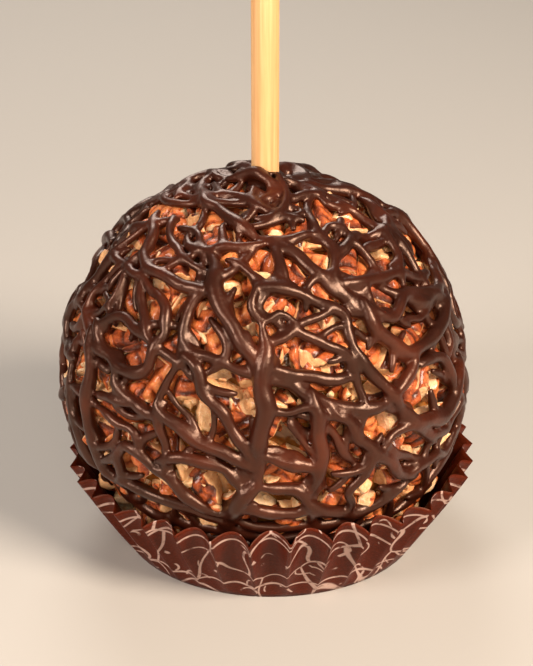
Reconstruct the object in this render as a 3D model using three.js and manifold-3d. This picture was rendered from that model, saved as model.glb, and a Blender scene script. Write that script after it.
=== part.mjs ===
// A caramel apple on a wooden stick, rolled in chopped pecans, netted with poured chocolate and
// standing in a pleated paper case. Millimetres, +Z up, origin at the middle of the case's flat base.
import * as THREE from 'three';
import { mergeVertices } from 'three/addons/utils/BufferGeometryUtils.js';
import Module from 'manifold-3d';

const wasm = await Module();
wasm.setup();

// ---- Driving dimensions -------------------------------------------------------------------
const CLEARANCE = 0.3;               // gap kept between pieces that rest on each other

const CASE_BASE_RADIUS = 36.5;
const CASE_RIM_RADIUS = 50.2;        // over the ridges of the pleats
const CASE_HEIGHT = 21;              // at the ridges; the bulges between them stand higher
const CASE_WALL = 0.4;
const PLEATS = 34;
const PLEAT_DEPTH = 4.3;             // at the rim, fading to nothing at the base
const RIM_TILT = 0.5;                // the case is nudged up a little on its +X side

const APPLE_LEAN = [-1.5, -2];       // the apple isn't quite central in its case
const APPLE_CENTRE_Z = 45;
const APPLE_SHOULDER = 2.2;          // 2 is an ellipsoid, more gives broader shoulders
const NUT_RADIUS = 44.2;             // highest point of the nut coat
const NUT_POLE_RADIUS = 44.2;
const NUT_FOOT_RADIUS = 47.4;        // below the middle, cut off flat where the apple stands
const NUT_RELIEF = 2.6;              // depth of the hollows between nuts
const NUT_SIZE = 9.5;                // width of one lump
const COAT_DETAIL = 10;              // splits of each edge of the ball's starting icosahedron
const FOOT_Z = CASE_WALL + CLEARANCE;

const STRAND_THICKNESS = 3.4;
const STRAND_FLOOR = 0.6;            // underside of a strand above the nut coat, before faceting
const STRAND_STEP = 10;
const SMALLEST_DETAIL = 0.15;
const STRAND_CORNERS = [35, 145, 235, 305];  // of its section, in degrees from one side

const STICK_RADIUS = 3.175;
const STICK_LENGTH = 140;
const STICK_DEPTH = 52;              // how far it goes into the apple
const STICK_CHAMFER = 0.5;
const STICK_SIDES = 32;
const TOP_HEAP = 4;                  // chocolate piled round the stick
const TOP_HEAP_RADIUS = 12;
const HEAP_EDGE = 0.4;
const HEAP_SIDES = 20;

// ---- Small helpers ------------------------------------------------------------------------
const degrees = THREE.MathUtils.degToRad;

// A repeatable number from 0 to 1 for each whole number.
function scatter(n) {
  const s = Math.sin(n * 127.1 + 11.7) * 43758.5453;
  return s - Math.floor(s);
}

function between(n, low, high) {
  return low + (high - low) * scatter(n);
}

// The unit direction of a longitude and latitude in degrees. Longitude 0 faces -Y, the front.
function direction(lon, lat) {
  const a = degrees(lon);
  const b = degrees(lat);
  return new THREE.Vector3(Math.sin(a) * Math.cos(b), -Math.cos(a) * Math.cos(b), Math.sin(b));
}

// A point on the broad-shouldered ball, raised by lift.
function onBall(dir, lift) {
  const flat = Math.hypot(dir.x, dir.y) / (NUT_RADIUS + lift);
  const polar = dir.z < 0 ? NUT_FOOT_RADIUS : NUT_POLE_RADIUS;
  const up = Math.abs(dir.z) / (polar + lift);
  const size = (flat ** APPLE_SHOULDER + up ** APPLE_SHOULDER) ** (-1 / APPLE_SHOULDER);
  return dir.clone().multiplyScalar(size);
}

function toSolid(geometry) {
  const bare = geometry.clone();
  bare.deleteAttribute('normal');
  bare.deleteAttribute('uv');
  const merged = mergeVertices(bare, 1e-3);
  const mesh = new wasm.Mesh({
    numProp: 3,
    vertProperties: new Float32Array(merged.attributes.position.array),
    triVerts: new Uint32Array(merged.index.array),
  });
  return new wasm.Manifold(mesh);
}

function toGeometry(solid) {
  const mesh = solid.getMesh();
  const geometry = new THREE.BufferGeometry();
  geometry.setAttribute('position', new THREE.BufferAttribute(mesh.vertProperties, 3));
  geometry.setIndex(new THREE.BufferAttribute(mesh.triVerts, 1));
  geometry.computeVertexNormals();
  return geometry;
}

// A closed mesh from rings of equal length, each a list of points, capped by fans at both ends.
function loft(rings, firstTip, lastTip) {
  const count = rings[0].length;
  const points = [...rings.flat(), firstTip, lastTip];
  const first = points.length - 2;
  const last = points.length - 1;
  const end = (rings.length - 1) * count;
  const faces = [];
  for (let i = 0; i < count; i++) {
    const j = (i + 1) % count;
    for (let row = 0; row < rings.length - 1; row++) {
      const a = row * count;
      const b = a + count;
      faces.push(a + i, a + j, b + j, a + i, b + j, b + i);
    }
    faces.push(first, j, i, last, end + i, end + j);
  }
  const geometry = new THREE.BufferGeometry().setFromPoints(points);
  geometry.setIndex(faces);
  return geometry;
}

// ---- Coated apple: fruit, caramel and nuts as one solid out to the nuts' uneven outline ------
// Hollow-and-lump relief: 0 on top of a nut, 1 in a hollow, from the nearest of scattered nut
// centres. The centres follow a sunflower spiral with a random nudge.
function nutCentres() {
  const count = Math.round(4 * (NUT_RADIUS / NUT_SIZE) ** 2 * 3.4);
  const golden = Math.PI * (3 - Math.sqrt(5));
  return Array.from({ length: count }, (_, i) => {
    const z = 1 - (2 * i + 1) / count;
    const turn = i * golden + between(i, -0.12, 0.12);
    const flat = Math.sqrt(1 - z * z);
    const height = between(i + 500, 0, 0.45);
    return { dir: new THREE.Vector3(flat * Math.cos(turn), flat * Math.sin(turn), z), height };
  });
}

function coatedApple() {
  const nuts = nutCentres();
  const geometry = new THREE.IcosahedronGeometry(1, COAT_DETAIL);
  const position = geometry.attributes.position;
  const dir = new THREE.Vector3();
  for (let i = 0; i < position.count; i++) {
    dir.fromBufferAttribute(position, i).normalize();
    let nearest = Infinity;
    for (const nut of nuts) {
      const reach = dir.distanceTo(nut.dir) * NUT_RADIUS / (NUT_SIZE / 2);
      nearest = Math.min(nearest, reach * reach * 0.55 + nut.height);
    }
    const point = onBall(dir, -NUT_RELIEF * Math.min(1, nearest));
    point.z = Math.max(point.z + APPLE_CENTRE_Z, FOOT_Z);
    position.setXYZ(i, point.x + APPLE_LEAN[0], point.y + APPLE_LEAN[1], point.z);
  }
  return toSolid(geometry).subtract(stickBore(STICK_BOTTOM - CLEARANCE));
}

// ---- Stick ----------------------------------------------------------------------------------
const STICK_BOTTOM = APPLE_CENTRE_Z + NUT_POLE_RADIUS - STICK_DEPTH;

function stickBore(bottom) {
  const height = STICK_LENGTH;
  const radius = STICK_RADIUS + CLEARANCE;
  const bore = new THREE.CylinderGeometry(radius, radius, height, STICK_SIDES);
  bore.rotateX(Math.PI / 2);
  bore.translate(APPLE_LEAN[0], APPLE_LEAN[1], bottom + height / 2);
  return toSolid(bore);
}

function stick() {
  const outline = [
    [0, 0],
    [STICK_RADIUS - STICK_CHAMFER, 0],
    [STICK_RADIUS, STICK_CHAMFER],
    [STICK_RADIUS, STICK_LENGTH - STICK_CHAMFER],
    [STICK_RADIUS - STICK_CHAMFER, STICK_LENGTH],
    [0, STICK_LENGTH],
  ].map(([x, y]) => new THREE.Vector2(x, y));
  const geometry = new THREE.LatheGeometry(outline, STICK_SIDES);
  geometry.rotateX(Math.PI / 2);
  geometry.translate(APPLE_LEAN[0], APPLE_LEAN[1], STICK_BOTTOM);
  return toSolid(geometry);
}

// ---- Poured chocolate -------------------------------------------------------------------------
// Each strand is its half width followed by the longitudes and latitudes that it runs over.
const FRONT_STRANDS = [
  [1.9, [-62, 72], [-40, 71], [-12, 64], [3, 60]],
  [2.0, [0, 60], [16, 60], [36, 60]],
  [2.0, [34, 66], [34, 54], [29, 46], [35, 37]],
  [2.2, [-44, 60], [-25, 54], [-17, 43], [-8, 33], [0, 22]],
  [1.9, [-76, 58], [-60, 50], [-44, 44], [-17, 43]],
  [2.0, [6, 62], [18, 51], [33, 38]],
  [1.9, [-4, 48], [12, 44], [26, 36], [29, 24]],
  [1.8, [-68, 23], [-52, 29], [-36, 27], [-12, 24], [2, 22]],
  [2.1, [-66, 25], [-50, 18], [-36, 18], [-32, 30], [-40, 42]],
  [2.3, [0, 34], [1, 20], [0, 6], [-2, -14]],
  [2.2, [0, 23], [14, 15], [28, 8], [44, 4]],
  [2.2, [0, 24], [12, 20], [28, 19]],
  [2.0, [29, 27], [37, 12], [46, 1], [57, -10]],
  [2.6, [34, 53], [50, 55], [70, 53], [88, 46]],
  [2.4, [31, 40], [46, 42], [62, 40], [84, 34]],
  [2.2, [36, 36], [40, 25], [56, 20], [78, 23]],
  [2.2, [52, 21], [38, 10], [26, 8]],
  [2.2, [44, 5], [53, -1], [66, -1], [84, 6]],
  [2.0, [20, 12], [31, -2], [40, -12], [50, -18]],
  [2.6, [14, 16], [16, 2], [14, -12], [19, -20]],
  [2.6, [-2, -2], [8, -4], [17, -8]],
  [2.4, [-30, 9], [-17, 2], [-3, -3]],
  [2.0, [-22, 24], [-14, 13], [-3, 0]],
  [2.0, [-50, 18], [-42, 10], [-30, 8], [-28, -6]],
  [2.4, [-60, 24], [-56, 4], [-52, -10], [-44, -20]],
  [1.9, [-76, 4], [-60, -5], [-44, -8], [-26, -9], [-5, -6]],
  [2.2, [-58, -17], [-40, -18], [-24, -20], [-8, -20]],
  [3.0, [0, -8], [-6, -15], [-10, -21]],
  [2.2, [-6, -12], [8, -14], [24, -20], [44, -17]],
  [2.0, [-76, 46], [-78, 30], [-66, 22]],
  [1.8, [-80, 84], [-74, 70], [-70, 54]],
  [1.8, [-26, 84], [-28, 70], [-25, 54]],
  [1.8, [40, 84], [38, 72], [34, 60]],
];
// Round the sides and back the pour is made of long runs down from the stick and slanting runs
// across them.
const FALLING_RUNS = { count: 8, from: 80, step: 26, top: 82, bottom: -20, travel: 14, sway: 9 };
const CROSSING_RUNS = { count: 9, from: 80, step: 23, span: 58, rise: 26, sway: 7 };

function fallingRun(i) {
  const run = FALLING_RUNS;
  const start = run.from + i * run.step + between(i + 40, -4, 4);
  const travel = between(i + 60, -run.travel, run.travel);
  const phase = between(i + 80, 0, 2 * Math.PI);
  const bottom = run.bottom + between(i + 20, 0, 14);
  const points = Array.from({ length: 7 }, (_, k) => {
    const t = k / 6;
    const sway = run.sway * Math.sin(phase + 5 * t) * t;
    return [start + travel * t + sway, run.top + (bottom - run.top) * t];
  });
  return [between(i + 100, 1.7, 2.3), ...points];
}

function crossingRun(i) {
  const run = CROSSING_RUNS;
  const start = run.from + i * run.step;
  const lat = between(i + 120, -16, 56);
  const rise = between(i + 140, -run.rise, run.rise);
  const phase = between(i + 160, 0, 2 * Math.PI);
  const span = run.span / Math.cos(degrees(lat * 0.7));
  const points = Array.from({ length: 6 }, (_, k) => {
    const t = k / 5;
    const height = lat + rise * (t - 0.5) + run.sway * Math.sin(phase + 4 * t);
    return [start + span * (t - 0.5), Math.min(62, Math.max(-20, height))];
  });
  return [between(i + 180, 1.6, 2.2), ...points];
}

// The pour as one strand: a flat-bottomed section carried along a curve on the nuts, square to
// them, narrowing to rounded ends.
function strand([halfWidth, ...stops]) {
  const lift = STRAND_FLOOR + STRAND_THICKNESS / 2;
  const route = stops.map(([lon, lat]) => onBall(direction(lon, lat), lift));
  const curve = new THREE.CatmullRomCurve3(route);
  const steps = Math.max(2, Math.round(curve.getLength() / STRAND_STEP));
  const rings = [];
  const tips = [];
  for (let k = 0; k <= steps; k++) {
    const along = curve.getTangentAt(k / steps);
    const up = curve.getPointAt(k / steps).normalize();
    const centre = onBall(up, lift);
    const side = new THREE.Vector3().crossVectors(along, up).normalize();
    const atEnd = k === 0 || k === steps;
    const size = atEnd ? 0.75 : 1;
    rings.push(STRAND_CORNERS.map((corner) => centre.clone()
      .addScaledVector(side, -Math.cos(degrees(corner)) * 1.2 * halfWidth * size)
      .addScaledVector(up, Math.sin(degrees(corner)) * STRAND_THICKNESS / 2 * size)));
    if (atEnd) {
      tips.push(centre.clone().addScaledVector(along, (k === 0 ? -1 : 1) * halfWidth * 0.6));
    }
  }
  const geometry = loft(rings, tips[0], tips[1]);
  geometry.translate(APPLE_LEAN[0], APPLE_LEAN[1], APPLE_CENTRE_Z);
  return toSolid(geometry);
}

// The heap round the stick: a dome over the top of the ball, with a hollow that fits it below.
function topHeap() {
  const rings = 3;
  const outline = [];
  const at = (share, reach, lift) => {
    const radius = reach * share;
    const dir = new THREE.Vector3(radius, 0, NUT_POLE_RADIUS).normalize();
    outline.push(new THREE.Vector2(radius, onBall(dir, lift).z));
  };
  for (let k = 0; k <= rings; k++) at(k / rings, TOP_HEAP_RADIUS - HEAP_EDGE, STRAND_FLOOR);
  for (let k = rings; k >= 0; k--) {
    const share = k / rings;
    at(share, TOP_HEAP_RADIUS, STRAND_FLOOR + HEAP_EDGE + TOP_HEAP * (1 - share ** 2));
  }
  const geometry = new THREE.LatheGeometry(outline, HEAP_SIDES);
  geometry.rotateX(Math.PI / 2);
  geometry.translate(APPLE_LEAN[0], APPLE_LEAN[1], APPLE_CENTRE_Z);
  return toSolid(geometry);
}

function chocolate() {
  const runs = [...FRONT_STRANDS];
  for (let i = 0; i < FALLING_RUNS.count; i++) runs.push(fallingRun(i));
  for (let i = 0; i < CROSSING_RUNS.count; i++) runs.push(crossingRun(i));
  let net = topHeap();
  for (const run of runs) net = net.add(strand(run));
  net = net.subtract(stickBore(APPLE_CENTRE_Z));
  // Crossings can seal a speck of air inside, so the net itself is the largest of the bodies.
  const bodies = net.simplify(SMALLEST_DETAIL).decompose();
  return bodies.sort((a, b) => b.volume() - a.volume())[0];
}

// ---- Paper case: pleats with sharp outward ridges and round inward bulges ---------------------
// The paper is a pressed flat disc, so its slanting length is the same all round: where a bulge
// comes in and stands steeper, it also reaches higher.
const CASE_FLARE = CASE_RIM_RADIUS - CASE_BASE_RADIUS;
const CASE_SLANT = Math.hypot(CASE_FLARE, CASE_HEIGHT);

function caseWall(turn, share) {
  const bulge = PLEAT_DEPTH * share * Math.abs(Math.sin(PLEATS * turn / 2));
  const out = CASE_FLARE * share - bulge;
  const up = Math.sqrt((CASE_SLANT * share) ** 2 - out ** 2);
  return [CASE_BASE_RADIUS + out, up];
}

function paperCase() {
  const phases = [0, 0.2, 0.5, 0.8];
  const turns = [];
  for (let pleat = 0; pleat < PLEATS; pleat++) {
    for (const phase of phases) turns.push(2 * Math.PI * (pleat + phase) / PLEATS);
  }
  const levels = [0, 0.33, 0.66, 1];
  const ring = (share, inset, raise) => turns.map((turn) => {
    const [radius, up] = caseWall(turn, share);
    const tilt = RIM_TILT * share * Math.cos(turn);
    return new THREE.Vector3((radius - inset) * Math.cos(turn), (radius - inset) * Math.sin(turn),
      up + tilt + raise);
  });
  const outside = levels.map((share) => ring(share, 0, 0));
  const inside = levels.slice().reverse()
    .map((share) => ring(share, CASE_WALL, share === 0 ? CASE_WALL : 0));
  return toSolid(loft([...outside, ...inside], new THREE.Vector3(0, 0, 0),
    new THREE.Vector3(0, 0, CASE_WALL)));
}

// ---- Assembly ---------------------------------------------------------------------------------
const finishes = {
  nuts: { color: 0x8a4a24, roughness: 0.45, metalness: 0 },
  chocolate: { color: 0x35190f, roughness: 0.3, metalness: 0 },
  birch: { color: 0xd9b384, roughness: 0.7, metalness: 0 },
  paper: { color: 0x6b3420, roughness: 0.55, metalness: 0 },
};

const apple = new THREE.Group();

function addPiece(name, solid, finish) {
  const mesh = new THREE.Mesh(toGeometry(solid), new THREE.MeshStandardMaterial(finishes[finish]));
  mesh.name = name;
  apple.add(mesh);
}

addPiece('coated_apple', coatedApple(), 'nuts');
addPiece('chocolate_drizzle', chocolate(), 'chocolate');
addPiece('stick', stick(), 'birch');
addPiece('paper_case', paperCase(), 'paper');

export default apple;
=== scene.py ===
# %% [markdown]
# # A caramel apple with pecans, poured chocolate and a paper case
#
# The real thing is made in layers. An apple on a birch stick is dipped in caramel, rolled in
# chopped pecans, netted with dark chocolate poured from above, and stood in a pleated paper case.
# This lesson makes it in the same order. Each layer is a mesh of its own, laid on the one before,
# so that a nut stands on the caramel and the chocolate runs over the nuts.
#
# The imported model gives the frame: its sizes and places come first, and every piece follows them.

import math

import bpy
import numpy as np
import openvdb
from mathutils import Matrix, Vector


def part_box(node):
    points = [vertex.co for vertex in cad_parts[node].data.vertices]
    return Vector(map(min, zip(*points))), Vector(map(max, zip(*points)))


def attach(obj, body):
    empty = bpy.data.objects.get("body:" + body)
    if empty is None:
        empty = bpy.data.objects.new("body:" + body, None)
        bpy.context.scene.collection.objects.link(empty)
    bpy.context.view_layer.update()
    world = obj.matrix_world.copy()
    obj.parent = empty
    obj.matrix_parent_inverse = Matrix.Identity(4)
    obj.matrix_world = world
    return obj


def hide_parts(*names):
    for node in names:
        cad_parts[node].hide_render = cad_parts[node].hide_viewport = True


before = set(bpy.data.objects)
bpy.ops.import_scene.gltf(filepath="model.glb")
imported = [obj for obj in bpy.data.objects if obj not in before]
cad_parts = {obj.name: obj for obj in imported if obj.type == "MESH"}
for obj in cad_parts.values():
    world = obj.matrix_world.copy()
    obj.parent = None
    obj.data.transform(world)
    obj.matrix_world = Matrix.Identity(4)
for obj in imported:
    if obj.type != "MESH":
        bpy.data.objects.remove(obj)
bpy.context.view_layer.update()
MM = 0.001
print("nodes:", sorted(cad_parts))

# %% [markdown]
# The pieces are worked out in millimetres and turned into metres only when a mesh is made. The
# ball's own middle is the place that every strand and nut is measured from, so it is read from
# the stick, which runs through it, and from the top of the coated apple.

# %% Sizes in millimetres, read from the frame
apple_low, apple_high = (np.array(corner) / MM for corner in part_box("coated_apple"))
stick_low, stick_high = (np.array(corner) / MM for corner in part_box("stick"))
case_low, case_high = (np.array(corner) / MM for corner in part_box("paper_case"))

STICK_RADIUS = (stick_high[0] - stick_low[0]) / 2
AXIS = (stick_low[:2] + stick_high[:2]) / 2
BALL_RADIUS = 45.0                     # out to most of the nuts
BALL_FOOT_RADIUS = 48.0                # below the middle, before the flat foot is cut off
BALL_SHOULDER = 2.2                    # 2 is an ellipsoid, more gives broader shoulders
BALL_HIP = 2.6                         # the same below the middle
CHEEK = 2.6                            # the ball is fuller low on each side, by this at most
CHEEK_ASIDE, CHEEK_DOWN = 0.94, 0.34   # where that is, as parts of a unit vector
CHEEK_SPREAD = 0.3
STICK_OFFSET = 0.6                     # the stick isn't quite in the middle of the ball
BALL_RISE = 0.8                        # its top stands this far above the plain solid's
BALL_MIDDLE = np.array([AXIS[0] - STICK_OFFSET, AXIS[1], apple_high[2] - BALL_RADIUS + BALL_RISE])
CARAMEL_DEPTH = 3.9                    # the nuts stand this far out of the caramel
FOOT_Z = apple_low[2]
CASE_INSIDE_FOOT = 36.1                # a cone just inside the bulges of the paper case: its
CASE_INSIDE_SLOPE = 0.39               # radius at the floor, and how much that grows for each mm
CASE_TOP_LAT = -24.0                   # latitude of the rim, seen from the ball's middle
CASE_FREE = 0.4                        # mm that the cone opens for each degree above that
BALL_IN_CASE = 0.8                     # the ball, the nuts and the strands each keep at least
NUT_IN_CASE = 0.3                      # this far inside the cone
NET_IN_CASE = 0.2
print("ball middle", BALL_MIDDLE.round(1), "stick radius", round(float(STICK_RADIUS), 2))

# %% [markdown]
# ## Places on the ball
#
# A place on the coat is a longitude and a latitude, as on a globe: longitude 0 is the front, and
# positive ones are to the right. The ball is a superellipsoid, which is an ellipsoid with fuller
# shoulders. It is a little fuller again low on its two sides, and is held in where the case
# would touch it. One function gives its radius in any direction.

# %% The ball as a function
def direction(lon, lat):
    """Unit vectors for longitudes and latitudes in degrees."""
    lon, lat = np.radians(lon), np.radians(lat)
    return np.stack([np.sin(lon) * np.cos(lat), -np.cos(lon) * np.cos(lat), np.sin(lat)], -1)


def ball_radius(way, lift=0.0):
    """How far the ball's surface lies from its middle along each unit vector, in millimetres."""
    low = way[..., 2] < 0
    power = np.where(low, BALL_HIP, BALL_SHOULDER)
    flat = np.hypot(way[..., 0], way[..., 1]) / (BALL_RADIUS + lift)
    up = np.abs(way[..., 2]) / (np.where(low, BALL_FOOT_RADIUS, BALL_RADIUS) + lift)
    near_cheek = (np.abs(way[..., 0]) - CHEEK_ASIDE) ** 2 + (way[..., 2] + CHEEK_DOWN) ** 2
    reach = (flat**power + up**power) ** (-1 / power) + CHEEK * np.exp(-near_cheek / CHEEK_SPREAD)
    return np.minimum(reach, case_reach(way) - BALL_IN_CASE + lift)


def case_reach(way):
    """How far it is from the ball's middle to the cone inside the case along each unit vector."""
    slope, middle = CASE_INSIDE_SLOPE, BALL_MIDDLE[:2] - (case_low + case_high)[:2] / 2
    at_middle = CASE_INSIDE_FOOT + slope * BALL_MIDDLE[2]
    a = (way[..., :2] ** 2).sum(-1) - (slope * way[..., 2]) ** 2
    b = way[..., :2] @ middle - slope * way[..., 2] * at_middle
    a = np.maximum(a, 0.05)            # steeper than the cone, a line would never meet it
    wall = (-b + np.sqrt(b**2 - a * (middle @ middle - at_middle**2))) / a
    lat = np.degrees(np.arcsin(np.clip(way[..., 2], -1, 1)))
    return wall + CASE_FREE * np.clip(lat - CASE_TOP_LAT, 0, None)


def unit(vectors):
    return vectors / np.linalg.norm(vectors, axis=-1, keepdims=True)


print("radius at the equator", ball_radius(direction(0, 0)).round(1))

# %% [markdown]
# ## Camera
#
# The camera looks down on the apple by 24 degrees from less than half a metre away, with a long
# lens, so the ball fills the picture and the stick leaves it at the top. It is set first, because
# everything else is judged through it.

# %% Camera
CAMERA_TILT = math.radians(24)
CAMERA_DISTANCE = 450
CAMERA_AIM = Vector((AXIS[0] + 0.3, AXIS[1], 52.3))

camera = bpy.data.objects.new("camera", bpy.data.cameras.new("camera"))
camera.data.lens = 101.5
away = Vector((0, -math.cos(CAMERA_TILT), math.sin(CAMERA_TILT)))
camera.location = (CAMERA_AIM + away * CAMERA_DISTANCE) * MM
camera.rotation_euler = (math.pi / 2 - CAMERA_TILT, 0, 0)
camera.data.clip_start = 0.01
bpy.context.scene.collection.objects.link(camera)
bpy.context.scene.camera = camera
print("camera at", [round(v, 3) for v in camera.location])

# %% [markdown]
# ## Writing a finish
#
# A finish is a small graph of nodes. Written out link by link it is hard to read, so a socket is
# wrapped in a class that knows +, - and *, and an expression such as `1 - mask` adds its own
# Math nodes. Any other node comes from one method, `node`: its settings are set first, because
# some of them decide which sockets it has, and then its sockets are given values or links.

# %% A socket that can be calculated with
class Wire:
    """The output of a node, used in sums like a number."""

    def __init__(self, finish, socket):
        self.finish, self.socket = finish, socket

    def _sum(self, operation, first, second):
        made = self.finish.node("ShaderNodeMath", {"operation": operation}, {0: first, 1: second})
        return made.out(0)

    def __add__(self, other):
        return self._sum("ADD", self, other)

    def __sub__(self, other):
        return self._sum("SUBTRACT", self, other)

    def __rsub__(self, other):
        return self._sum("SUBTRACT", other, self)

    def __mul__(self, other):
        return self._sum("MULTIPLY", self, other)

    __radd__ = __add__
    __rmul__ = __mul__


class Made:
    """A node that has been made: `out` gives one of its outputs as a Wire."""

    def __init__(self, finish, node):
        self.finish, self.node = finish, node

    def out(self, which=0):
        return Wire(self.finish, self.node.outputs[which])


class Finish:
    """One material, built round one Principled shader."""

    def __init__(self, name, **constants):
        self.material = bpy.data.materials.new(name)
        self.material.use_nodes = True
        self.tree = self.material.node_tree
        self.shader = self.tree.nodes["Principled BSDF"]
        for socket, value in constants.items():
            self.shader.inputs[socket.replace("_", " ")].default_value = value

    def node(self, kind, settings=None, sockets=None):
        made = self.tree.nodes.new(kind)
        for name, value in (settings or {}).items():
            if name == "stops":
                self._stops(made.color_ramp, value)
            else:
                setattr(made, name, value)
        for name, value in (sockets or {}).items():
            self.feed(made.inputs[name], value)
        return Made(self, made)

    def _stops(self, ramp, stops):
        while len(ramp.elements) < len(stops):
            ramp.elements.new(0.5)
        for element, (place, colour) in zip(ramp.elements, stops):
            element.position = place
            element.color = (*colour, 1)

    def feed(self, socket, value):
        if isinstance(value, Wire):
            self.tree.links.new(value.socket, socket)
        else:
            socket.default_value = value

    def surface(self, name, value):
        self.feed(self.shader.inputs[name], value)

    # Short names for the nodes that most finishes here use.
    def place(self):
        return self.node("ShaderNodeTexCoord").out("Object")

    def told(self, name, output="Fac"):
        return self.node("ShaderNodeAttribute", {"attribute_name": name}).out(output)

    def noise(self, at, scale, detail=3.0, rough=0.5, output="Fac"):
        sockets = {"Vector": at, "Scale": scale, "Detail": detail, "Roughness": rough}
        return self.node("ShaderNodeTexNoise", {}, sockets).out(output)

    def stretch(self, at, scale):
        return self.node("ShaderNodeMapping", {}, {"Vector": at, "Scale": scale}).out()

    def ramp(self, value, *stops):
        return self.node("ShaderNodeValToRGB", {"stops": stops}, {0: value}).out(0)

    def step(self, value, low, high):
        sockets = {"Value": value, "From Min": low, "From Max": high}
        return self.node("ShaderNodeMapRange", {"interpolation_type": "SMOOTHSTEP"}, sockets).out(0)

    def blend(self, share, first, second):
        colours = {0: share, 6: first, 7: second}
        return self.node("ShaderNodeMix", {"data_type": "RGBA"}, colours).out(2)

    def bump(self, height, distance, strength=1.0):
        sockets = {"Height": height, "Distance": distance, "Strength": strength}
        return self.node("ShaderNodeBump", {}, sockets).out()


def colour(red, green, blue):
    """A colour given as seen, 0 to 255, turned into the linear numbers that shaders use."""
    return tuple(((c / 255 + 0.055) / 1.055) ** 2.4 if c > 10 else c / 255 / 12.92
                 for c in (red, green, blue))


def paint(red, green, blue):
    return (*colour(red, green, blue), 1)


print("mid brown in linear numbers:", [round(c, 3) for c in colour(120, 60, 36)])

# %% [markdown]
# ## From numbers to a mesh
#
# A few helpers carry every piece into Blender. `to_piece` makes an object from points in
# millimetres and faces, with any values that a finish reads stored on its points. `ring_faces`
# joins rings of points, for all that is round. `skin_of` turns a block of distances, negative
# inside a shape and positive outside, into a surface. Distances are a good way to make food:
# shapes melt into one another, or are cut, by simple arithmetic.

# %% Meshes from points, and from distances
def to_piece(name, points, faces, finish, values=None):
    mesh = bpy.data.meshes.new(name)
    points = np.asarray(points, np.float32) * MM
    faces = np.asarray(faces, np.int32)
    mesh.vertices.add(len(points))
    mesh.vertices.foreach_set("co", points.ravel())
    mesh.loops.add(faces.size)
    mesh.loops.foreach_set("vertex_index", faces.ravel())
    mesh.polygons.add(len(faces))
    mesh.polygons.foreach_set("loop_start", np.arange(len(faces)) * faces.shape[1])
    mesh.polygons.foreach_set("use_smooth", np.ones(len(faces), bool))
    mesh.update(calc_edges=True)
    for key, numbers in (values or {}).items():
        kind = "FLOAT" if np.ndim(numbers) == 1 else "FLOAT_VECTOR"
        field = "value" if kind == "FLOAT" else "vector"
        stored = mesh.attributes.new(key, kind, "POINT")
        stored.data.foreach_set(field, np.asarray(numbers, np.float32).ravel())
    mesh.materials.append(finish.material)
    piece = bpy.data.objects.new(name, mesh)
    bpy.context.scene.collection.objects.link(piece)
    triangles = len(faces) * (faces.shape[1] - 2)
    print(f"{name}: {len(points)} points, {triangles} triangles")
    return piece


def ring_faces(rings, around):
    """Four-sided faces between rings that hold so many points each, one ring after another."""
    ring, turn = np.meshgrid(np.arange(rings - 1), np.arange(around), indexing="ij")
    here, beside = ring * around + turn, ring * around + (turn + 1) % around
    return np.stack([here, beside, beside + around, here + around], -1).reshape(-1, 4)


def skin_of(distances, corner, pitch):
    """The surface where the distances pass zero, as points in millimetres and four-sided faces."""
    block = openvdb.FloatGrid(3.0 * pitch)
    block.copyFromArray(np.clip(distances, -3 * pitch, 3 * pitch).astype(np.float32))
    points, faces = block.convertToQuads(0.0)
    return points * pitch + corner, faces.astype(np.int32)


def lightened(points, faces, most):
    """The same surface with about so many triangles, fewest where it is flattest."""
    mesh = bpy.data.meshes.new("heavy")
    mesh.from_pydata(points.tolist(), [], faces.tolist())
    heavy = bpy.data.objects.new("heavy", mesh)
    bpy.context.scene.collection.objects.link(heavy)
    fewer = heavy.modifiers.new("fewer", "DECIMATE")
    fewer.ratio = min(1.0, most / (2 * len(faces)))
    fewer.use_collapse_triangulate = True
    light = heavy.evaluated_get(bpy.context.evaluated_depsgraph_get()).to_mesh()
    spots = np.empty(len(light.vertices) * 3, np.float32)
    light.vertices.foreach_get("co", spots)
    corners = np.empty(len(light.loops), np.int32)
    light.loops.foreach_get("vertex_index", corners)
    heavy.to_mesh_clear()
    bpy.data.objects.remove(heavy)
    bpy.data.meshes.remove(mesh)
    return spots.reshape(-1, 3).astype(float), corners.reshape(-1, 3)


def melt(first, second, reach):
    """The union of two shapes with a fillet where they meet."""
    share = np.clip(0.5 + 0.5 * (second - first) / reach, 0, 1)
    return second * (1 - share) + first * share - reach * share * (1 - share)


def ripple(points, seed, size, count=7):
    """A smooth random number between about -1 and 1 at each point, from a few crossing waves."""
    draw = np.random.default_rng(seed)
    ways = unit(draw.normal(size=(count, 3))) * 2 * math.pi / size
    ways = ways * draw.uniform(0.6, 1.5, (count, 1))
    phases = draw.uniform(0, 2 * math.pi, count)
    return np.sin(points @ ways.T + phases).sum(-1) * 1.4 / count


print("ripple at the origin:", ripple(np.zeros((1, 3)), 1, 5.0).round(3))

# %% [markdown]
# ## Caramel
#
# The apple itself can't be seen: what shows between the nuts is its caramel. It is one smooth
# core, a few millimetres inside the nuts' outline, with slow dips and sags where it ran. It
# stands on the flat foot that it settled into in the case.

# %% Caramel finish
caramel = Finish("caramel", Roughness=0.14, Specular_Tint=(1, 0.88, 0.7, 1), Coat_Weight=0.2,
                 Coat_Roughness=0.08, Subsurface_Weight=0.25, Subsurface_Scale=0.004)
mottle = caramel.noise(caramel.place(), 160, 4, 0.6)
caramel.surface("Base Color", caramel.ramp(mottle, (0.3, colour(88, 48, 16)),
                                           (0.5, colour(134, 80, 32)),
                                           (0.72, colour(172, 118, 58))))
caramel.surface("Normal", caramel.bump(caramel.noise(caramel.place(), 420, 3), 0.0004))


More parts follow.
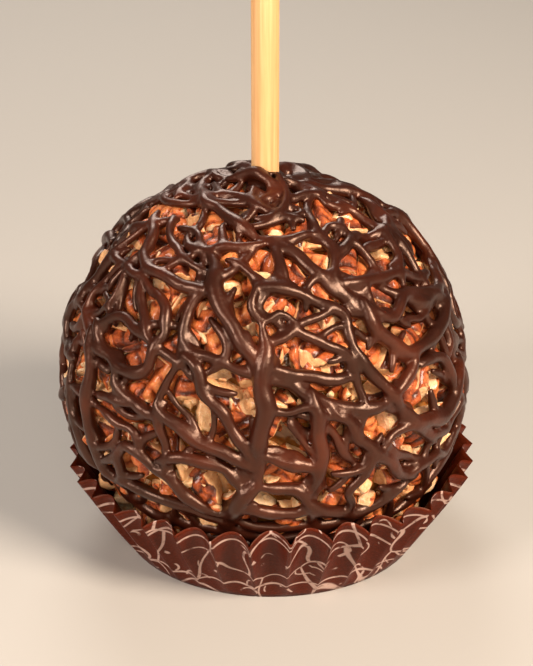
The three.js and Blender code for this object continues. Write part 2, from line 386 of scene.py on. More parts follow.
# %% Caramel core
def caramel_core(rings=90, around=170):
    lat = np.linspace(-90, 90, rings + 1)
    lon = np.linspace(0, 360, around, endpoint=False)
    way = direction(*np.meshgrid(lon, lat))
    reach = ball_radius(way, -CARAMEL_DEPTH)
    reach += 0.55 * ripple(way * BALL_RADIUS, 11, 16.0) + 0.25 * ripple(way * BALL_RADIUS, 12, 6.0)
    points = way * reach[..., None] + BALL_MIDDLE
    points[..., 2] = np.maximum(points[..., 2], FOOT_Z)
    return points.reshape(-1, 3), ring_faces(rings + 1, around)


core = to_piece("caramel_core", *caramel_core(), caramel)

# %% [markdown]
# ## Chopped pecans
#
# Half a pecan is a long dome with a groove down its back and small folds across its two lobes. A
# knife leaves pieces of it: most keep some brown skin, and all show pale flesh where they broke.
# So each piece is made the same way as the real one. A distance function describes the half, a
# few rough planes cut a piece out of it, and each point of the surface remembers whether it lies
# on the skin or on a cut. That is what the finish reads to tell skin from flesh.

# %% Half a pecan, and a piece cut from it
HALF_LENGTH, HALF_WIDTH, HALF_HEIGHT = 13.0, 6.2, 5.2
LOBE_PITCH = 3.2
NUT_PITCH = 0.4                        # of the block of distances that a nut is made in


def pecan_half(points, phase):
    """Distance to the skin of half a pecan, and how deep the point lies in a fold, which the finish
    uses as painted shade.
    """
    x, y, z = np.moveaxis(points, -1, 0)
    size = ((np.abs(x) / HALF_LENGTH) ** 2.4 + (np.abs(y) / HALF_WIDTH) ** 2.2
            + (np.abs(z) / HALF_HEIGHT) ** 2.2) ** (1 / 2.2)
    groove = np.exp(-((y / 0.9) ** 2))
    bend = 0.25 * np.sin(0.7 * y + phase)
    folds = 0.5 + 0.5 * np.cos(2 * math.pi * (x / LOBE_PITCH + bend) + phase)
    folds = folds**4 * np.clip(np.abs(y) / 2.0 - 0.2, 0, 1)
    dip = 1.4 * groove + 0.55 * folds + 0.22 * ripple(points, 21, 5.0)
    return np.maximum((size - 1) * 5.0 + dip, -1.3 - z), np.clip(groove + folds, 0, 1)


def pecan_piece(seed, triangles, long, wide, deep, whole_side, skinless):
    """A chopped piece: points round its own middle, faces, and skin and fold values."""
    draw = np.random.default_rng(seed)
    phase, side = draw.uniform(0, 6), draw.choice([-1, 1])
    off = HALF_WIDTH - wide / 2 if whole_side else draw.uniform(0.6, 3.6)
    top = 3.4 if draw.uniform() < skinless else 5.4
    middle = np.array([draw.uniform(-7, 7), side * off, top - deep / 2])
    lean = draw.normal(0, 0.24, (6, 3))
    square = [[1, 0, 0], [-1, 0, 0], [0, -side, 0], [0, side, 0], [0, 0, -1], [0, 0, 1]]
    ways = unit(np.array(square) + lean)
    reach = np.array([long, long, wide, wide, deep, deep]) / 2 * draw.uniform(0.85, 1.15, 6)
    cuts = [0, 1, 2, 4] + ([] if whole_side else [3]) + ([5] if top < 5 else [])

    def measure(points):
        skin, fold = pecan_half(points, phase)
        rough = 0.2 * ripple(points, seed + 1, 5.0) + 0.1 * ripple(points, seed + 2, 1.6)
        cut = np.max([(points - middle) @ ways[k] - reach[k] + rough for k in cuts], 0)
        return skin, cut, fold

    half = np.array([long, wide, deep]) * 0.75 + 1.6
    corner = middle - half
    axes = [np.arange(0, 2 * h, NUT_PITCH) for h in half]
    block = np.stack(np.meshgrid(*axes, indexing="ij"), -1)
    skin, cut, _ = measure(block + corner)
    points, faces = skin_of(-melt(-skin, -cut, 0.2), corner, NUT_PITCH)
    points, faces = lightened(points, faces, triangles)
    skin, cut, fold = measure(points)
    shown = np.clip(0.5 + (skin - cut) / 0.7, 0, 1)
    centre = (points.min(0) + points.max(0)) / 2
    return points - centre, faces, shown, fold


KINDS = {
    # name: how many shapes, triangles, length, width, depth in mm, whole side, share skinless, tilt
    "pecan_ridged": (12, 660, 10.8, 6.6, 6.4, True, 0, 30),
    "pecan_broken": (14, 700, 8.6, 5.2, 4.4, False, 0.08, 65),
    "pecan_bits": (10, 380, 5.0, 3.5, 3.4, False, 0.3, 110),
    "pecan_crumbs": (8, 110, 2.2, 1.7, 1.7, False, 0.5, 180),
}
shapes = {}
for number, (kind, (count, *build, _)) in enumerate(KINDS.items()):
    shapes[kind] = [pecan_piece(100 * number + 7 * k + 3, *build) for k in range(count)]
    spans = [np.ptp(shape[0], axis=0).round(1).tolist() for shape in shapes[kind][:4]]
    print(kind, "measure", spans)

# %% [markdown]
# ## Rolling the apple in nuts
#
# Nuts picked up by soft caramel lie close together and at every angle, yet they hardly ever lie
# right on top of one another. Places on a sunflower spiral are evenly spaced, and a random nudge
# hides the spiral. Each place gets a piece, turned and tilted at random and pressed in.

# %% Placing the pieces
NUT_SPACING = 6.1
CRUMB_SPACING = 7.5
LOWEST_NUT = -46                       # latitude below which the case hides them
TALL_NUT = 4.6                         # mm; one that would stand higher is pressed in deeper
PRESSED_IN = 0.85                      # by this share of what it is over


def spiral_places(spacing, seed, nudge=0.35):
    """Longitudes and latitudes spread evenly over the ball, about a spacing apart."""
    draw = np.random.default_rng(seed)
    count = int(4 * math.pi * BALL_RADIUS**2 / spacing**2)
    height = 1 - (2 * np.arange(count) + 1) / count
    turn = np.arange(count) * math.pi * (3 - math.sqrt(5))
    lat = np.degrees(np.arcsin(height)) + draw.normal(0, nudge, count) * spacing
    lon = np.degrees(turn) + draw.normal(0, nudge, count) * spacing
    lon = (lon + 180) % 360 - 180
    kept = (lat > LOWEST_NUT) & (lat < 88)
    return np.stack([lon[kept], lat[kept]], -1)


def turned(way, spin, tilt, tilt_way):
    """A turn that stands +Z along way, after a spin about it and a tilt away from it."""
    outward = Vector(way).to_track_quat("Z", "Y").to_matrix()
    lean = Vector((math.cos(tilt_way), math.sin(tilt_way), 0))
    return np.array(outward @ Matrix.Rotation(tilt, 3, lean) @ Matrix.Rotation(spin, 3, "Z"))


def scatter_nuts(places, choose, seed, sink=0.3):
    """The pieces laid at the places: for each kind, its points, faces and values."""
    draw = np.random.default_rng(seed)
    laid = {kind: [] for kind in KINDS}
    for lon, lat in places:
        kind = draw.choice(list(KINDS), p=choose)
        most_tilt = math.radians(KINDS[kind][-1])
        points, faces, shown, fold = shapes[kind][draw.integers(len(shapes[kind]))]
        way = direction(lon, lat)
        turn = turned(way, draw.uniform(0, 2 * math.pi), most_tilt * draw.uniform(-1, 1),
                      draw.uniform(0, 2 * math.pi))
        moved = points * draw.uniform(0.8, 1.12) @ turn.T
        lowest = (moved @ way).min()
        base = float(ball_radius(way, -CARAMEL_DEPTH)) - sink - draw.uniform(0.0, 1.3)
        height = (moved @ way).max() - lowest
        base -= max(0.0, height - TALL_NUT) * PRESSED_IN
        base = min(base, float(case_reach(way)) - NUT_IN_CASE - height)
        tone = np.full(len(points), draw.uniform())
        laid[kind].append((moved + way * (base - lowest), faces, shown, fold, tone, points))
    return laid


def joined(pieces):
    """Many meshes as one: their points, faces and values, with the faces renumbered."""
    first = np.cumsum([0] + [len(piece[0]) for piece in pieces[:-1]])
    faces = np.concatenate([piece[1] + start for piece, start in zip(pieces, first)])
    columns = [np.concatenate([piece[k] for piece in pieces]) for k in (0, 2, 3, 4, 5)]
    return columns[0], faces, dict(zip(("skin", "fold", "tone", "grain"), columns[1:]))


laid = scatter_nuts(spiral_places(NUT_SPACING, 5), [0.48, 0.32, 0.2, 0], 6)
crumbs = scatter_nuts(spiral_places(CRUMB_SPACING, 7, 0.5), [0, 0, 0, 1], 8, sink=-1.2)
laid["pecan_crumbs"] = crumbs["pecan_crumbs"]
print({kind: len(pieces) for kind, pieces in laid.items()})

# %% [markdown]
# The finish of a nut is two finishes in one. Skin is a red-brown that varies from nut to nut,
# with painted shade that darkens it in the folds and the groove. Flesh is cream, mottled, and a
# little translucent. The boundary between them is sharp, with a thin dark line of skin seen edge
# on.

# %% Pecan finish
pecan = Finish("pecan", Specular_IOR_Level=0.4, Specular_Tint=(1, 0.85, 0.7, 1), Coat_Weight=0.3,
               Coat_Roughness=0.12, Subsurface_Weight=0.06, Subsurface_Scale=0.001)
grain = pecan.told("grain", "Vector")
speckle = pecan.noise(grain, 0.9, 4, 0.65)
fine = pecan.noise(grain, 3.0, 3, 0.6)
tone = pecan.told("tone")
fold = pecan.told("fold")
# painted shade: the skin colour is darkened where the fold value is high, in the folds and the
# groove
skin_colour = pecan.ramp(tone * 0.45 + speckle * 0.75 - fold * 0.5,
                         (0.05, colour(72, 25, 10)), (0.28, colour(130, 53, 22)),
                         (0.5, colour(184, 88, 40)), (0.8, colour(216, 130, 72)))
flesh_colour = pecan.ramp(speckle * 0.7 + tone * 0.3, (0.25, colour(204, 134, 80)),
                          (0.5, colour(233, 180, 126)), (0.75, colour(246, 214, 172)))
skinned = pecan.step(pecan.told("skin") + (fine - 0.5) * 0.35, 0.42, 0.56)
rim = pecan.step(pecan.told("skin") + (fine - 0.5) * 0.35, 0.2, 0.5) * (1 - skinned)
flesh_colour = pecan.blend(rim * 0.7, flesh_colour, paint(150, 84, 44))
pecan.surface("Base Color", pecan.blend(skinned, flesh_colour, skin_colour))
pecan.surface("Roughness", 0.46 - skinned * 0.16)
pecan.surface("Normal", pecan.bump(fine * 0.6 + speckle, 0.0004))

nuts = [to_piece(kind, points + BALL_MIDDLE, faces, pecan, values)
        for kind, (points, faces, values) in ((k, joined(p)) for k, p in laid.items())]

# %% [markdown]
# ## How high the nuts stand
#
# The chocolate lies on whatever is highest. So the nuts are measured once: the ball is divided
# into small cells of longitude and latitude, and each cell keeps the highest point of any nut in
# it. A strand then asks this map for its height, as a plotter reads a relief.

# %% Relief map of the nuts
MAP_STEP = 2.0                         # degrees, about 1.5 mm


def relief_map(pieces):
    rows, columns = int(180 / MAP_STEP), int(360 / MAP_STEP)
    relief = np.full((rows, columns), BALL_RADIUS - CARAMEL_DEPTH)
    for piece in pieces:
        points = np.empty(len(piece.data.vertices) * 3, np.float32)
        piece.data.vertices.foreach_get("co", points)
        points = points.reshape(-1, 3) / MM - BALL_MIDDLE
        reach = np.linalg.norm(points, axis=1)
        lat = np.degrees(np.arcsin(np.clip(points[:, 2] / reach, -1, 1)))
        lon = np.degrees(np.arctan2(points[:, 0], -points[:, 1])) % 360
        np.maximum.at(relief, (((lat + 90) / MAP_STEP).astype(int).clip(0, rows - 1),
                               (lon / MAP_STEP).astype(int) % columns), reach)
    return relief


relief = relief_map(nuts)
print("highest nut", relief.max().round(1), "mm from the middle; mean", relief.mean().round(1))


def nut_height(lon, lat):
    """The highest nut in and around the cell of each longitude and latitude."""
    rows, columns = relief.shape
    row = ((np.asarray(lat) + 90) / MAP_STEP).astype(int).clip(1, rows - 2)
    column = (np.asarray(lon) % 360 / MAP_STEP).astype(int)
    near = [relief[row + dr, (column + dc) % columns] for dr in (-1, 0, 1) for dc in (-1, 0, 1)]
    return np.sort(near, 0)[-3:].mean(0)


# %% [markdown]
# ## Poured chocolate
#
# Melted chocolate falls in strands that sag over the nuts, cross, and run together where they
# touch. The front is laid strand by strand in the order that it was poured. Each row below is a
# strand's half width in millimetres and the longitudes and latitudes that it passes over; a few
# rows of pools follow, where several strands met and spread.

# %% The strands listed one by one on the front
FRONT_STRANDS = [
    # Across the front of the stick
    (1.8, (-95, 80), (-55, 84.5), (-5, 84), (28, 80), (38, 75)),
    (1.5, (60, 82), (25, 79), (-8, 76), (-40, 75), (-60, 70)),
    (1.4, (-100, 76), (-62, 77), (-30, 78), (0, 74), (18, 69), (30, 66)),
    (1.3, (-20, 81), (-12, 77), (-10, 72), (-16, 67), (-14, 62)),
    (1.3, (40, 84), (30, 77), (20, 73), (8, 70), (-6, 69)),
    # Round the shoulder, from the left
    (1.9, (-72, 72), (-52, 70), (-40, 71), (-25, 68), (-12, 64), (0, 60)),
    (2.0, (0, 61), (15, 60), (32, 61)),
    (2.0, (33, 62), (35, 55), (31, 50), (28, 45), (31, 40), (35, 37)),
    (1.6, (-27, 65), (-21, 59), (-25, 55)),
    (1.7, (-45, 58), (-34, 55), (-26, 54)),
    (1.8, (-25, 55), (-15, 58), (-5, 58.5), (1, 60)),
    (1.4, (-66, 61), (-55, 57), (-45, 54), (-36, 51), (-24, 49)),
    (1.9, (-78, 59), (-65, 54), (-54, 47), (-46, 44.5), (-36, 44), (-26, 43), (-18, 42)),
    (1.5, (-78, 42), (-66, 42), (-56, 42), (-47, 41), (-39, 39)),
    (1.3, (-70, 56), (-75, 50), (-76, 44), (-77, 34)),
    (1.4, (-15, 52), (-9, 52), (-4, 50), (1, 47)),
    (1.8, (3, 59), (8, 52), (9, 46)),
    (2.0, (7, 61), (14, 56), (19, 51), (25, 45), (31, 40)),
    (1.9, (-3, 46), (8, 44.5), (16, 42), (24, 38.5), (28, 35), (28, 30), (29, 24)),
    (1.4, (25, 38), (18, 35.5), (10, 34)),
    (1.4, (-3, 45), (-4, 39), (0, 36), (5, 37.5), (9, 36), (10, 33), (6, 31), (0, 31)),
    # The left side
    (1.3, (-58, 40), (-57, 33), (-60, 29), (-67, 25)),
    (1.3, (-66, 41), (-70, 33), (-70, 26)),
    (1.8, (-60, 23), (-53, 28), (-48, 29.5), (-42, 28), (-36, 27), (-31, 25), (-24, 23)),
    (1.6, (-58, 26), (-56, 22), (-53, 20), (-48, 18)),
    (1.9, (-72, 26), (-60, 21), (-54, 20), (-47, 18)),
    (1.2, (-66, 20), (-61, 15), (-57, 12), (-57, 8), (-55, 2)),
    (2.1, (-51, 19), (-44, 17), (-38, 17), (-34, 20), (-33, 26), (-31, 30)),
    (2.0, (-46, 18), (-45, 13), (-41, 10), (-35, 8), (-29, 6)),
    (1.6, (-53, 6), (-46, 8), (-39, 9)),
    (1.7, (-48, 40), (-43, 34), (-39, 31), (-35, 27)),
    (1.8, (-41, 40), (-34, 37), (-32, 33), (-31, 28)),
    (1.3, (-22, 25), (-27, 20), (-29, 15), (-30, 9), (-29, 2)),
    (1.4, (-78, 0), (-72, 2), (-63, 4), (-56, 3)),
    (1.4, (-74, 0), (-68, -1), (-64, -4), (-56, -5)),
    (1.7, (-24, 42), (-26, 37), (-26, 33), (-25, 29), (-22, 25.5), (-16, 25), (-10, 24), (-1, 21)),
    # The trunk down the middle and what joins it
    (2.5, (-26, 56), (-20, 50), (-17, 43), (-13, 38), (-8, 33), (-4, 28), (0, 22)),
    (2.9, (0, 35), (1, 28), (0, 22), (0, 17), (1, 13), (0, 6), (-1, 0), (0, -6)),
    (2.0, (-23, 25), (-18, 21), (-16, 17), (-13, 13), (-9, 7), (-5, 2), (-3, -3)),
    (2.4, (-31, 10), (-24, 6), (-18, 2), (-10, -1), (-3, -5)),
    (2.2, (1, 23), (9, 21.5), (16, 20), (22, 18.5), (28, 18)),
    (2.2, (0, 22), (8, 18.5), (14, 15), (20, 11.5), (28, 9), (38, 9.5)),
    (1.3, (3, 13), (8, 11.5), (12, 12), (15, 11), (20, 9)),
    (1.5, (9, 34), (15, 31), (20, 27.5), (26, 25), (28, 21), (28, 15), (29, 9), (27, 2)),
    (2.6, (14, 16), (15, 8), (16, 2), (16, -4), (15, -10), (13, -15)),
    (2.8, (-1, -1), (5, -3), (11, -4), (16, -7)),
    (3.0, (0, -6), (-3, -11), (-6, -16), (-9, -21), (-12, -27), (-13, -33)),
    (2.1, (-2, -11), (5, -12), (11, -14), (13, -18), (10, -21), (3, -20), (-4, -18), (-8, -20)),
    # The lower left
    (2.4, (-60, 24), (-57, 12), (-56, 3), (-54, -6), (-51, -13), (-47, -18), (-43, -20)),
    (1.6, (-50, 4), (-44, 2), (-38, 0), (-36, -5)),
    (1.8, (-50, -13), (-45, -9), (-40, -5), (-35, -6), (-31, -9), (-25, -10)),
    (1.5, (-30, 7), (-28, 0), (-27, -5), (-27, -9)),
    (2.0, (-30, -6), (-20, -4), (-12, -5), (-8, -9), (-5, -12)),
    (1.8, (-46, -19), (-44, -13), (-42, -7)),
    (2.2, (-45, -18), (-36, -20), (-28, -22), (-20, -25), (-11, -26)),
    (1.6, (-29, -9), (-24, -13), (-20, -18), (-15, -22)),
    (1.6, (-25, -10), (-22, -17), (-16, -22), (-10, -23)),
    (2.2, (-54, -29), (-44, -31), (-36, -32), (-28, -30), (-12, -31)),
    (2.0, (-57, -20), (-54, -26), (-50, -31)),
    (1.8, (-44, -17), (-47, -23), (-46, -31)),
    (2.2, (-68, 8), (-65, -5), (-61, -12), (-57, -21)),
    (1.6, (-73, -8), (-64, -15), (-57, -19)),
    # The right side
    (2.1, (34, 51), (47, 55), (57, 55.5), (66, 54), (80, 49)),
    (1.7, (46, 73), (36, 66), (32, 60)),
    (1.5, (35, 60), (42, 62), (49, 60), (48, 56)),
    (1.4, (48, 55), (51, 47), (48, 41)),
    (1.3, (74, 53), (66, 46), (60, 42), (58, 37)),
    (1.9, (30, 44), (38, 43), (46, 42), (55, 41), (66, 38), (80, 33)),
    (1.6, (31, 38), (37, 33), (38, 29), (34, 25)),
    (1.8, (36, 36), (44, 31), (50, 33), (57, 35), (63, 34), (70, 30), (80, 23)),
    (2.3, (35, 38), (38, 31), (42, 25), (47, 21), (52, 20), (58, 20), (64, 21), (72, 24), (82, 26)),
    (2.3, (51, 20), (47, 16), (43, 13), (37, 11)),
    (1.9, (52, 15), (58, 16), (63, 13), (66, 8), (67, 2)),
    (2.0, (29, 27), (31, 21), (35, 15), (39, 10), (43, 4), (47, 0), (52, -5), (58, -10)),
    (2.4, (43, 5), (47, 1), (53, -1), (60, -3), (67, -1), (72, 3), (82, 6)),
    (1.7, (52, -5), (60, -7), (66, -7), (74, -3)),
    (2.1, (19, 12), (24, 6), (28, 1), (32, -4), (37, -9), (43, -14), (51, -18)),
    (1.5, (34, -4), (38, 0), (43, 1), (49, -2)),
    (1.3, (19, -7), (24, -8), (29, -7), (32, -4)),
    (1.4, (31, -4), (28, -10), (25, -14), (26, -19), (28, -25)),
    (2.4, (12, -16), (17, -20), (23, -23), (30, -25), (38, -22), (44, -18)),
    (2.0, (44, -15), (50, -15), (57, -14), (64, -16), (74, -12)),
    (1.6, (38, -21), (42, -26), (43, -32)),
    # Along the edge of the case
    (2.4, (-14, -25), (-8, -31), (2, -33), (14, -32), (24, -30)),
    (2.2, (-32, -29), (-20, -34), (-5, -36), (12, -37), (28, -34), (44, -31)),
    (1.9, (13, -16), (15, -24), (16, -33)),
    (2.0, (30, -25), (21, -28), (10, -27), (0, -28), (-9, -25)),
    (2.2, (44, -30), (56, -27), (66, -22), (78, -20)),
]
FRONT_POOLS = [
    # Longitude, latitude and radius in millimetres
    (0, 24, 4.2), (35, 38, 4.8), (5, 46, 3.6), (-68, 24, 3.6), (-48, 18, 3.6), (-23, 45, 3.2),
    (-25, 55, 3.2), (33, 61, 3.2), (28, 22, 2.8), (49, 42, 3.2), (-3, -5, 4.4), (8, -4, 3.6),
    (-10, -23, 4.6), (15, -12, 4.0), (44, 4, 3.4), (-55, -8, 3.4), (-28, -8, 3.0), (46, -16, 3.6),
]
print(len(FRONT_STRANDS), "strands and", len(FRONT_POOLS), "pools on the front")

# %% [markdown]
# Round the sides and back, and over the top, no strand matters by itself, so they are drawn at
# random in the same manner: long runs falling from the stick, runs slanting across them, short
# twigs that join them, and rings heaped round the stick where every pour began. Thinner twigs
# fill in between the strands of the front, and are laid first, so that they lie under them.

# %% The strands drawn at random
def shake(number):
    """A repeatable number from 0 to 1 for each whole number, as the frame's own pour uses."""
    value = math.sin(number * 127.1 + 11.7) * 43758.5453
    return value - math.floor(value)


def between(number, low, high):
    return low + (high - low) * shake(number)


def falling_runs(count=8, start=80, step=26):
    """The frame's own long runs down the sides and back."""
    for i in range(count):
        lon = start + i * step + between(i + 40, -4, 4)
        travel, phase = between(i + 60, -14, 14), between(i + 80, 0, 2 * math.pi)
        bottom = -20 + between(i + 20, 0, 14)
        stops = [(lon + travel * t + 9 * math.sin(phase + 5 * t) * t, 82 + (bottom - 82) * t)
                 for t in np.linspace(0, 1, 7)]
        yield (between(i + 100, 1.7, 2.3), *stops)


def crossing_runs(count=9, start=80, step=23):
    """The frame's own slanting runs."""
    for i in range(count):
        lon, lat = start + i * step, between(i + 120, -16, 56)
        rise, phase = between(i + 140, -26, 26), between(i + 160, 0, 2 * math.pi)
        span = 58 / math.cos(math.radians(lat * 0.7))
        stops = [(lon + span * (t - 0.5),
                  min(62, max(-20, lat + rise * (t - 0.5) + 7 * math.sin(phase + 4 * t))))
                 for t in np.linspace(0, 1, 6)]
        yield (between(i + 180, 1.6, 2.2), *stops)


def twigs(places, seed, shortest, longest, widths=(1.2, 2.1)):
    """Short curved strands that set out from places at any angle."""
    draw = np.random.default_rng(seed)
    for lon, lat in places:
        heading, curl = draw.uniform(0, 2 * math.pi), draw.normal(0, 0.09)
        stops = [(lon, lat)]
        for _ in range(int(draw.uniform(shortest, longest) / 5)):
            heading += curl * 5
            lat = min(80, max(-36, lat + 6.2 * math.sin(heading)))
            lon += 6.2 * math.cos(heading) / max(0.25, math.cos(math.radians(lat)))
            stops.append((lon, lat))
        yield (draw.uniform(*widths), *stops)


def stick_rings(seed=31):
    """Wandering rings round the stick, and short spokes out of them."""
    draw = np.random.default_rng(seed)
    for height, first, last in ((83, 70, 280), (75, -60, 100), (74, 120, 310)):
        lon = np.linspace(first, last, 8)
        lat = height + draw.normal(0, 1.3, 8)
        yield (draw.uniform(1.4, 1.9), *zip(lon, np.minimum(lat, 84)))
    for lon in np.arange(20, 380, 45) + draw.uniform(-14, 14, 8):
        stops = [(lon + draw.normal(0, 16 - k), 83 - 6.5 * k) for k in range(draw.integers(3, 5))]
        yield (draw.uniform(1.2, 1.7), *stops)


def away_from_front(places):
    return [(lon, lat) for lon, lat in places if abs(lon) > 80 and lat < 76]


back_places = away_from_front(spiral_places(8.3, 41, 0.5))
back_places = [(lon, lat) for lon, lat in back_places if lat > -38]
front_places = [(lon, lat) for lon, lat in spiral_places(10.0, 43, 0.5)
                if abs(lon) < 80 and -30 < lat < 74]
drawn = [*twigs(front_places, 44, 12, 24, (1.1, 1.6)), *falling_runs(), *crossing_runs(),
         *twigs(back_places, 42, 12, 30), *stick_rings()]
back_pools = [(lon, lat, 2.6 + 1.8 * shake(i)) for i, (lon, lat) in enumerate(back_places[::7])]
print(len(drawn), "strands and", len(back_pools), "pools drawn at random")

# %% [markdown]
# A strand becomes solid in three steps. A smooth curve passes through its stops. The relief map
# gives its height, evened out along its length, because a stiff strand bridges the gaps between
# nuts. Then a block of distances takes it in as a round rope that swells and sways a little, and
# melts it into what is already there, so that crossings get the fillets of real chocolate. A pool
# is a flattened ball melted in the same way, and a low collar closes the net round the stick.

# %% Strands and pools melted into one net
NET_PITCH = 0.46
NET_HALF = 51.0
net_corner = np.array([-NET_HALF, -NET_HALF, -36.0])
net_steps = ((np.array([NET_HALF, NET_HALF, 55.0]) - net_corner) / NET_PITCH).astype(int)
FAR = 4.0
net = np.full(net_steps, FAR, np.float32)
strand_only = np.full(net_steps, FAR, np.float32)
THINNER = 0.71                         # strands draw in as they cool
MELT = 0.75                            # how far a strand runs into another, in mm
HIGHEST = 50.2                         # the net's outside, from the ball's middle
EASE = 0.7                             # mm over which a strand is eased down to that
SWAY = 0.8                             # mm that a strand strays from its smooth curve
TIP, TAPER = 0.65, 0.25                # half width at a strand's ends, and its growth a step
HEAP = 5.0                             # mm, and half as much again straight in front
HEAP_REACH = 8.0                       # degrees
HEAP_LAT = 72                          # above this a strand lifts the next ones more
POOL_SINK = 1.6                        # a pool's middle lies this far below the nuts
POOL_FLATNESS = 2.2                    # how much wider a pool is than it is deep
POOL_SPREAD = 0.72
POOL_MELT = 1.6


def smooth_route(stops, step=1.1):
    """Longitudes and latitudes about a step apart on a smooth curve through the stops."""
    way = unit(direction(*np.array(stops, float).T))
    padded = np.concatenate([2 * way[:1] - way[1:2], way, 2 * way[-1:] - way[-2:-1]])
    parts = []
    for a, b, c, d in zip(padded, padded[1:], padded[2:], padded[3:]):
        count = max(2, int(np.linalg.norm(c - b) * BALL_RADIUS / step))
        t = np.linspace(0, 1, count, endpoint=False)[:, None]
        parts.append(0.5 * (2 * b + (c - a) * t + (2 * a - 5 * b + 4 * c - d) * t**2
                            + (3 * b - a - 3 * c + d) * t**3))
    return unit(np.concatenate([*parts, way[-1:]]))


def evened(values, reach):
    """Values along a strand, averaged over so many neighbours on each side."""
    weights = np.exp(-0.5 * (np.arange(-2 * reach, 2 * reach + 1) / reach) ** 2)
    padded = np.pad(values, 2 * reach, mode="edge")
    return np.convolve(padded, weights / weights.sum(), mode="valid")


def block_round(low, high):
    """The part of the net's block between two corners, and the points in it."""
    first = np.clip(((low - net_corner) / NET_PITCH).astype(int), 0, net_steps)
    last = np.clip(((high - net_corner) / NET_PITCH).astype(int) + 2, 0, net_steps)
    part = tuple(slice(a, b) for a, b in zip(first, last))
    axes = [np.arange(a, b) * NET_PITCH + c for a, b, c in zip(first, last, net_corner)]
    return part, np.stack(np.meshgrid(*axes, indexing="ij"), -1)


def raise_relief(lon, lat, height):
    """The next strands lie over this one."""
    rows, columns = relief.shape
    row = ((lat + 90) / MAP_STEP).astype(int).clip(0, rows - 1)
    np.maximum.at(relief, (row, (lon % 360 / MAP_STEP).astype(int)), height)


def kept_under(height, limit):
    """Heights eased down so that none stands above the limit."""
    return limit - EASE * np.log1p(np.exp((limit - height) / EASE))


def heap(lon, lat):
    """How much higher the pour lies round the stick, most of all in front of it."""
    return HEAP * np.exp(-(((90 - lat) / HEAP_REACH) ** 2)) * (1 + 0.5 * np.cos(np.radians(lon)))


def lay_strand(number, half_width, stops):
    """Melt one strand into the net. Its number seeds how it swells, sways and rides."""
    way = smooth_route(stops)
    sway = [ripple(way * BALL_RADIUS, 900 + 3 * number + k, 10.0) for k in range(3)]
    way = unit(way + SWAY / BALL_RADIUS * np.stack(sway, -1))
    lat = np.degrees(np.arcsin(way[:, 2]))
    lon = np.degrees(np.arctan2(way[:, 0], -way[:, 1]))
    height = evened(nut_height(lon, lat), 2)
    along = np.arange(len(way))
    swell = 1 + 0.22 * ripple(way * BALL_RADIUS, 300 + number, 9.0)
    width = THINNER * half_width * swell
    width = np.minimum(width, TIP + TAPER * np.minimum(along, along[::-1]))
    ride = 0.7 * shake(number + 700) - 0.2
    height = height + 0.35 * width + ride + 0.35 * ripple(way * BALL_RADIUS, 500 + number, 14.0)
    limit = np.minimum(HIGHEST, case_reach(way) - NET_IN_CASE) - width
    height = kept_under(height, limit)
    centre = way * (height + heap(lon, lat))[:, None]
    for a, b, ra, rb in zip(centre, centre[1:], width, width[1:]):
        reach = max(ra, rb) + 1.6
        part, points = block_round(np.minimum(a, b) - reach, np.maximum(a, b) + reach)
        run = b - a
        share = np.clip((points - a) @ run / (run @ run), 0, 1)
        gap = points - a - share[..., None] * run
        distance = np.sqrt((gap**2).sum(-1)) - (ra + share * (rb - ra))
        np.minimum(strand_only[part], distance, out=strand_only[part])
    part, _ = block_round(centre.min(0) - 4, centre.max(0) + 4)
    net[part] = melt(net[part], strand_only[part], MELT)
    strand_only[part] = FAR
    raise_relief(lon, lat, height + np.where(lat > HEAP_LAT, 0.6, 0.15) * width)


def lay_pool(lon, lat, radius):
    """Melt a pool into the net, kept low and clear of the case."""
    way = direction(lon, lat)
    low = nut_height(lon, lat) - POOL_SINK
    centre = way * min(low, HIGHEST - 4, case_reach(way) - 3.5)
    part, points = block_round(centre - radius - 2, centre + radius + 2)
    gap = points - centre
    rise = gap @ way
    squashed = np.sqrt((gap**2).sum(-1) + (POOL_FLATNESS**2 - 1) * rise**2)
    distance = squashed - POOL_SPREAD * radius
    net[part] = melt(net[part], (distance * 0.7).astype(np.float32), POOL_MELT)


def lay_collar(thick=1.3, high=3.8, lean=0.3):
    """Chocolate that has climbed the stick, a little higher in front."""
    axis = AXIS - BALL_MIDDLE[:2]
    low = np.array([*(axis - 9), BALL_RADIUS - 4])
    part, points = block_round(low, np.array([*(axis + 9), BALL_RADIUS + high + 4]))
    aside = points[..., :2] - axis
    rise = points[..., 2] - BALL_RADIUS
    cone = np.hypot(*np.moveaxis(aside, -1, 0)) - STICK_RADIUS - thick + 0.2 * rise
    lid = rise - high + lean * aside[..., 1] + 0.8 * ripple(points, 71, 5.0)
    net[part] = melt(net[part], np.maximum(cone, lid).astype(np.float32), POOL_MELT)


for number, (half_width, *stops) in enumerate(drawn + FRONT_STRANDS):
    lay_strand(number, half_width, stops)
lay_collar()
for pool in FRONT_POOLS + back_pools:
    lay_pool(*pool)
print("share of the block in chocolate:", (net < 0).mean().round(3))

# %% [markdown]
# The block of distances now becomes a mesh. Dark chocolate is smooth but not polished: it shows
# the lights as broad, soft streaks, and its brown is a little cloudy.

# %% Chocolate finish and mesh
chocolate = Finish("dark_chocolate", Specular_IOR_Level=0.6, Specular_Tint=(1, 0.66, 0.5, 1),
                   Subsurface_Weight=0.05, Subsurface_Scale=0.002)
at = chocolate.place()
cloud = chocolate.noise(at, 70, 3, 0.5)
chocolate.surface("Base Color", chocolate.ramp(cloud, (0.3, colour(33, 10, 4)),
                                               (0.55, colour(51, 18, 8)),
                                               (0.75, colour(74, 29, 14))))
chocolate.surface("Roughness", 0.29 + chocolate.noise(at, 190, 3, 0.6) * 0.1)
chocolate.surface("Normal", chocolate.bump(chocolate.noise(at, 600, 3, 0.6), 0.00012))

points, faces = lightened(*skin_of(net, net_corner, NET_PITCH), 192000)
net_piece = to_piece("chocolate_net", points + BALL_MIDDLE, faces, chocolate)

